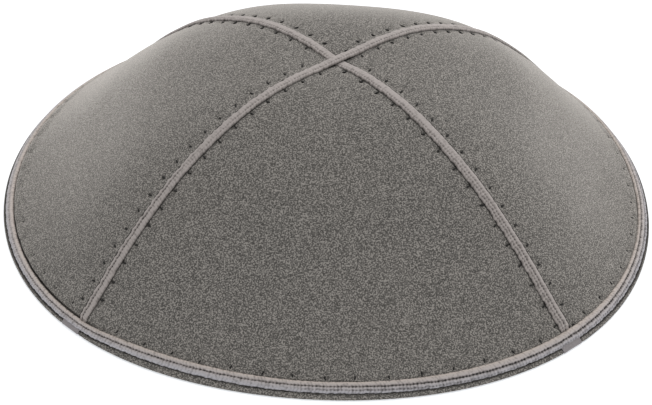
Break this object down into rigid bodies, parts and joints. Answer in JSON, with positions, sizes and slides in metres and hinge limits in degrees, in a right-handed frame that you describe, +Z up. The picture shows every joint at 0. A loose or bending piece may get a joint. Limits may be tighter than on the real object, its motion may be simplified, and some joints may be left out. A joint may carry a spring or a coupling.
{
  "type": "kippah skullcap",
  "caption": "Round suede skullcap of sewn gores, with soutache braid over the seams and a wider braid round the rim.",
  "frame": {"origin": "centre of the rim, on the surface that the cap stands on", "axes": "+Z up through the crown; -Y towards the side that the picture shows in front, the front gore's; +X to the picture's right"},
  "size_m": [0.1721, 0.165, 0.0486],
  "materials": {
    "suede": "grey split suede, napped and matt",
    "soutache": "ribbed rayon soutache braid, pale pinkish grey, soft sheen",
    "cotton_tape": "narrow woven cotton tape, pale grey"
  },
  "bodies": {
    "root": {"gore_front": "suede", "gore_right": "suede", "gore_back": "suede", "gore_left": "suede", "seam_braid_over": "soutache", "seam_braid_under": "soutache", "rim_braid": "soutache", "seam_tape_upper": "cotton_tape", "seam_tape_lower": "cotton_tape"}
  },
  "joints": []
}
